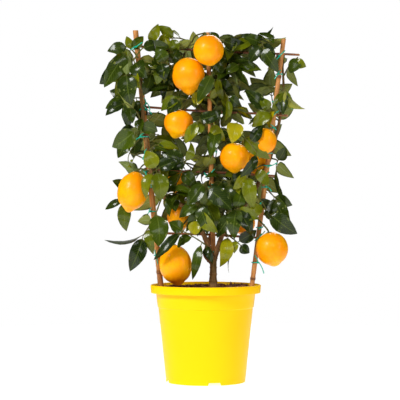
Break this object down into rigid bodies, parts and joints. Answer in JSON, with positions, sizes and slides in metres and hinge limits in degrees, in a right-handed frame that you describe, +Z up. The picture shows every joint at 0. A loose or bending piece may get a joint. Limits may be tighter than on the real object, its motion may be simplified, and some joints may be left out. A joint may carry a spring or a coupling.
{
  "type": "potted lemon tree",
  "caption": "Dwarf lemon tree with hanging fruit, trained on a small trellis of canes and standing in a round tapered pot.",
  "frame": {"origin": "centre of the pot's foot, on the surface that it stands on", "axes": "+Z up along the pot's axis; the trellis stands in the plane of X and Z, and the front of the plant faces -Y"},
  "size_m": [0.3751, 0.205, 0.6622],
  "materials": {
    "pot_plastic": "smooth moulded plastic, slightly glossy",
    "soil": "loose dark potting mix, matt",
    "bark": "fine grained brown bark, matt",
    "cane": "dry bamboo, satin",
    "crossbar_cane": "thin split cane, matt",
    "wire": "plastic coated wire",
    "lemon_peel": "waxy pored peel, satin",
    "leaf": "glossy leathery leaf"
  },
  "bodies": {
    "root": {"pot": "pot_plastic", "soil": "soil", "trunk": "bark", "cane_left": "cane", "cane_centre": "cane", "cane_right": "cane", "crossbar_1": "crossbar_cane", "crossbar_2": "crossbar_cane", "crossbar_3": "crossbar_cane", "crossbar_4": "crossbar_cane", "tie_1": "wire", "tie_2": "wire", "tie_3": "wire", "tie_4": "wire", "tie_5": "wire", "tie_6": "wire", "tie_7": "wire", "tie_8": "wire", "tie_9": "wire", "tie_10": "wire", "tie_11": "wire", "tie_12": "wire", "tie_13": "wire", "tie_14": "wire", "lemon_1": "lemon_peel", "lemon_2": "lemon_peel", "lemon_3": "lemon_peel", "lemon_4": "lemon_peel", "lemon_5": "lemon_peel", "lemon_6": "lemon_peel", "lemon_7": "lemon_peel", "lemon_8": "lemon_peel", "lemon_9": "lemon_peel", "lemon_10": "lemon_peel", "lemon_11": "lemon_peel", "lemon_12": "lemon_peel", "shoot_crown_left": "leaf", "shoot_left_side": "leaf", "shoot_left_inner": "leaf", "shoot_left_outer": "leaf", "shoot_low_left": "leaf", "shoot_low_centre": "leaf", "shoot_centre_low": "leaf", "shoot_low_right": "leaf", "shoot_right_low": "leaf", "shoot_right_inner": "leaf", "shoot_right_hang": "leaf", "shoot_middle": "leaf", "shoot_upper_centre": "leaf", "shoot_crown_centre": "leaf", "shoot_crown_right": "leaf", "shoot_right_top": "leaf", "shoot_right_upper": "leaf", "shoot_crown_sprig": "leaf", "shoot_crown_inner": "leaf", "shoot_centre_left": "leaf", "shoot_middle_left": "leaf", "shoot_back_left": "leaf", "shoot_back_right": "leaf", "shoot_back_centre": "leaf"}
  },
  "joints": []
}
